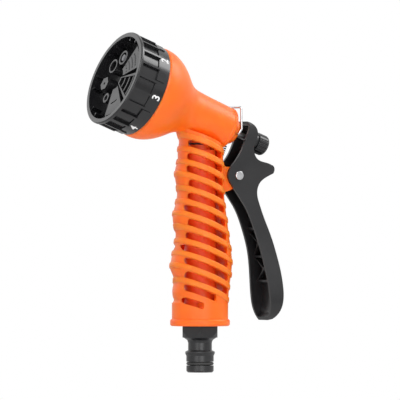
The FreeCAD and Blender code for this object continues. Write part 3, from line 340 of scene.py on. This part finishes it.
# %% Which finish each piece gets
FINISHES = {
    # The water tube's deeper red orange is painted shade for the slots.
    "body_shell": orange, "water_tube": shaded_tube_orange, "gland_nut": orange,
    "trigger_lever": black, "dial_shell": dial_black, "dial_face": face_black, "dial_back_plate": face_black,
    "shower_plate": face_black, "jet_insert": face_black, "cone_insert": face_black, "mist_pin": grey,
    "front_plate": black, "inlet_nipple": black, "flow_knob": knob_black,
    "lock_clip": bright_steel, "pivot_pin": bright_steel, "pivot_cap": bright_steel,
    "return_spring": bright_steel, "valve_stem": plain_steel, "stem_spring": plain_steel,
    "face_seal_spring": plain_steel, "detent_spring": plain_steel, "spring_washer": plain_steel,
    "dial_screw": plain_steel, "dial_washer": plain_steel, "knob_insert": brass, "plunger_nut": brass,
    "valve_plunger": white, "valve_seat": white, "wear_washer": white, "detent_pin": white,
    "plate_o_ring": rubber, "tube_o_rings": rubber, "nipple_o_ring": rubber, "inlet_washer": rubber,
    "gland_o_ring": rubber, "face_seal": rubber, "plunger_seal": rubber,
}
print("finishes for", len(FINISHES), "pieces")

# %% Smooth, round the edges, dress
EDGE_BEVEL = {                  # metres
    "body_shell": 0.0005, "trigger_lever": 0.0005, "dial_shell": 0.0005, "dial_face": 0.00015,
    "inlet_nipple": 0.0003, "cone_insert": 0.0003, "flow_knob": 0.0001,
}
BEVEL_STEPS = 2
SHARP_ANGLE = math.radians(32.0)


def smooth_shading(piece):
    """Smooth shading that still breaks where two faces meet at a real edge."""
    mesh = piece.data
    mesh.polygons.foreach_set("use_smooth", [True] * len(mesh.polygons))
    mesh.set_sharp_from_angle(angle=SHARP_ANGLE)


def edge_bevel(piece, width):
    """A small rounding on the real edges only."""
    bevel = piece.modifiers.new("edge_round", "BEVEL")
    bevel.width = width
    bevel.segments = BEVEL_STEPS
    bevel.limit_method = "ANGLE"
    bevel.angle_limit = SHARP_ANGLE
    bevel.harden_normals = True


for name, piece in nodes.items():
    piece.data.materials.clear()
    piece.data.materials.append(FINISHES[name])
    smooth_shading(piece)
    if name in EDGE_BEVEL:
        edge_bevel(piece, EDGE_BEVEL[name])
print("dressed", len(nodes), "pieces")

# %% [markdown]
# ## Bars on the grip
# The bands of plastic between the slots stand a little proud of the grip and run round it, which
# is what gives a wet hand something to hold. They could be part of the CAD solid, but so many
# thin ridges on a waisted grip make a fragile solid, so they are meshes here. Each bar is a thin
# slanting strip. Its points are found by shooting a ray at the grip from outside, so the strip
# follows the finger waves. Beside the lever's lug the bar stops short on both sides. Under the
# head the rays start closer in, so that they don't hit the head instead.

# %% Find the grip's surface
from mathutils.bvhtree import BVHTree

SLOPE = math.tan(math.radians(22.0))    # every bar and slot falls towards the lever
USUAL_REACH = 0.013                     # the grip's usual radius
OPEN_START, UNDER_HEAD_START = 0.022, 0.017     # distance from the axis where the rays start
REFINEMENTS = 3
grip_surface = BVHTree.FromObject(nodes["body_shell"], bpy.context.evaluated_depsgraph_get())


def grip_reach(angle, height_on_axis, start):
    """Distance from the axis to the grip's surface in one direction, on a slanting plane."""
    direction = Vector((math.cos(angle), math.sin(angle), 0.0))
    reach = USUAL_REACH
    for _ in range(REFINEMENTS):
        height = height_on_axis - SLOPE * reach * direction.x
        hit, _, _, _ = grip_surface.ray_cast(direction * start + Vector((0.0, 0.0, height)), -direction)
        if hit is None:
            return USUAL_REACH
        reach = hit.xy.length
    return reach


print("grip radius in front", round(grip_reach(math.pi, VIEW_HEIGHT, OPEN_START), 4))

# %% Raised bars
BARS, BAR_STEPS = 12, 144
SLOT_TOP, SLOT_PITCH, SLOT_OPENING = 0.1269, 0.0076, 0.0041
BAR_RISE, BAR_SINK, BAR_MARGIN = 0.0006, 0.0005, 0.0002
BAR_HALF = (SLOT_PITCH - SLOT_OPENING) / 2.0 - BAR_MARGIN
PROBE_SHARE = 0.8               # how far towards the bar's edge its surface is measured
LUG_LOW, LUG_HIGH, LUG_ANGLE = 0.097, 0.121, math.radians(29.0)
BAR_SECTION = [                 # across the bar as a share of its half height, share of the rise
    (-1.0, None), (-1.0, 0.35), (-0.78, 0.85), (-0.3, 1.0),
    (0.3, 1.0), (0.78, 0.85), (1.0, 0.35), (1.0, None),
]


def bar_ring(angle, middle, start):
    """The points of the bar's section at one angle; a rise of None is sunk into the grip."""
    points = []
    for across, rise in BAR_SECTION:
        reach = grip_reach(angle, middle + across * BAR_HALF * PROBE_SHARE, start)
        reach += -BAR_SINK if rise is None else BAR_RISE * rise
        x, y = reach * math.cos(angle), reach * math.sin(angle)
        points.append((x, y, middle + across * BAR_HALF - SLOPE * x))
    return points


def grip_bar(number):
    """One raised strip between two slots; the strip above the first slot is number 0."""
    middle = SLOT_TOP - SLOT_PITCH * (number - 0.5)
    start = UNDER_HEAD_START if number == 0 else OPEN_START
    beside_lug = LUG_LOW < middle < LUG_HIGH
    first = LUG_ANGLE if beside_lug else 0.0
    turn = 2.0 * math.pi - 2.0 * first
    count = BAR_STEPS + 1 if beside_lug else BAR_STEPS
    vertices, faces = [], []
    for step in range(count):
        vertices += bar_ring(first + turn * step / BAR_STEPS, middle, start)
    ring = len(BAR_SECTION)
    for step in range(BAR_STEPS):
        here, there = step * ring, (step + 1) % count * ring
        for k in range(ring):
            faces.append((here + k, there + k, there + (k + 1) % ring, here + (k + 1) % ring))
    if beside_lug:
        faces += [tuple(range(ring)), tuple(reversed(range((count - 1) * ring, count * ring)))]
    mesh = bpy.data.meshes.new("grip_bar_%02d" % (number + 1))
    mesh.from_pydata(vertices, [], faces)
    mesh.validate()
    # The lighter bar orange is painted highlight on the raised bars.
    mesh.materials.append(lit_bar_orange)
    bar = bpy.data.objects.new(mesh.name, mesh)
    scene.collection.objects.link(bar)
    smooth_shading(bar)
    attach(bar, "body")


for number in range(BARS):
    grip_bar(number)
print("bars", BARS)

# %% [markdown]
# ## Numbers on the dial
# Each spray pattern is marked on the smooth band at the back of the dial. The real marks are
# printed in white ink, a few hundredths of a millimetre thick. An image texture could carry them,
# but text objects stay sharp at any distance. Each digit is turned into a mesh and every point is
# laid on the band's cylinder, so it follows the curve. The cylinder's axis is the dial's own joint.

# %% The dial's axis
joints = {joint["name"]: joint for joint in frame["joints"]}
spray = Vector(joints["dial_turn"]["axis"]).normalized()
dial_back = Vector(joints["dial_turn"]["pos_m"])
head_up = Vector((spray.z, 0.0, -spray.x))
near_side = Vector((0.0, -1.0, 0.0))


def on_dial(clock_angle, radius, depth):
    """A point on the dial: angle from the top towards the near side, depth along the spray."""
    outward = head_up * math.cos(clock_angle) + near_side * math.sin(clock_angle)
    return dial_back + spray * depth + outward * radius


print("dial axis", [round(v, 3) for v in spray])

# %% Printed numbers
PATTERNS = 7
BAND_R = 0.0268
BAND_MIDDLE = 0.0040
DIGIT_HEIGHT = 0.0046
DIGIT_SHARE = 0.7               # height of a digit as a share of the font's size
BOLDER = 0.025                  # how much each stroke grows, as a share of the digit's height
CURVE_STEPS = 6
INK_LIFT, INK_THICKNESS = 0.00001, 0.00004
ink = moulded("white_print_ink", (0.85, 0.85, 0.85), (0.78, 0.78, 0.78), 0.45, 0.6)

for number in range(PATTERNS):
    text = bpy.data.curves.new("dial_number_%d" % (number + 1), "FONT")
    text.body = str(number + 1)
    text.size = DIGIT_HEIGHT / DIGIT_SHARE
    text.align_x = "CENTER"
    text.offset = DIGIT_HEIGHT * BOLDER
    text.extrude = INK_THICKNESS / 2.0
    text.resolution_u = CURVE_STEPS
    flat = bpy.data.objects.new(text.name + "_flat", text)
    scene.collection.objects.link(flat)
    bpy.context.view_layer.update()
    mesh = bpy.data.meshes.new_from_object(flat.evaluated_get(bpy.context.evaluated_depsgraph_get()))
    bpy.data.objects.remove(flat)
    middle_angle = 2.0 * math.pi * number / PATTERNS
    for vertex in mesh.vertices:
        along, up, lift = vertex.co
        vertex.co = on_dial(middle_angle - along / BAND_R, BAND_R + INK_LIFT + INK_THICKNESS / 2.0 + lift,
                            BAND_MIDDLE + up - DIGIT_HEIGHT / 2.0)
    mesh.materials.clear()
    mesh.materials.append(ink)
    digit = bpy.data.objects.new("dial_number_%d" % (number + 1), mesh)
    scene.collection.objects.link(digit)
    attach(digit, "dial")
print("numbers", PATTERNS)
